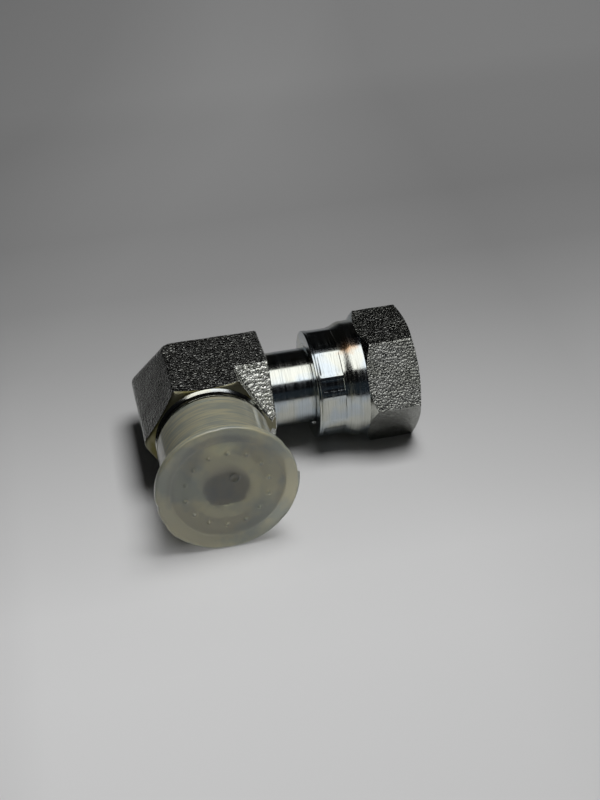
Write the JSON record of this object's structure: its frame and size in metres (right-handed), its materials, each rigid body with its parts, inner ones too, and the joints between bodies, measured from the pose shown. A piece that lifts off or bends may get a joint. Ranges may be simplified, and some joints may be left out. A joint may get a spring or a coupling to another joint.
{
  "type": "hydraulic elbow adapter",
  "caption": "Right-angle adapter: forged hexagonal block with a flared male thread under a push-on cap and a crimped swivel nut.",
  "frame": {"origin": "where the two port axes cross, inside the forged block", "axes": "+X along the swivel nut's axis, out of its mouth; -Y along the male thread's axis, out of the block; +Z is the block's flat top"},
  "size_m": [0.0419, 0.0331, 0.02],
  "materials": {
    "forged_steel": "shot-blasted and zinc plated, dark and grainy, with turned ends",
    "turned_steel": "zinc plated, turned skirt and grainy flats",
    "natural_polyethylene": "translucent natural polyethylene"
  },
  "bodies": {
    "elbow": {"elbow_body": "forged_steel"},
    "nut": {"swivel_nut": "turned_steel"},
    "cap": {"protective_cap": "natural_polyethylene"}
  },
  "joints": [
    {"name": "nut_spin", "type": "hinge", "parent": "elbow", "child": "nut", "pos_m": [0.02, 0, 0], "axis": [1, 0, 0], "continuous": true},
    {"name": "cap_pull", "type": "slide", "parent": "elbow", "child": "cap", "axis": [0, -1, 0], "range_m": [0, 0.012]}
  ]
}
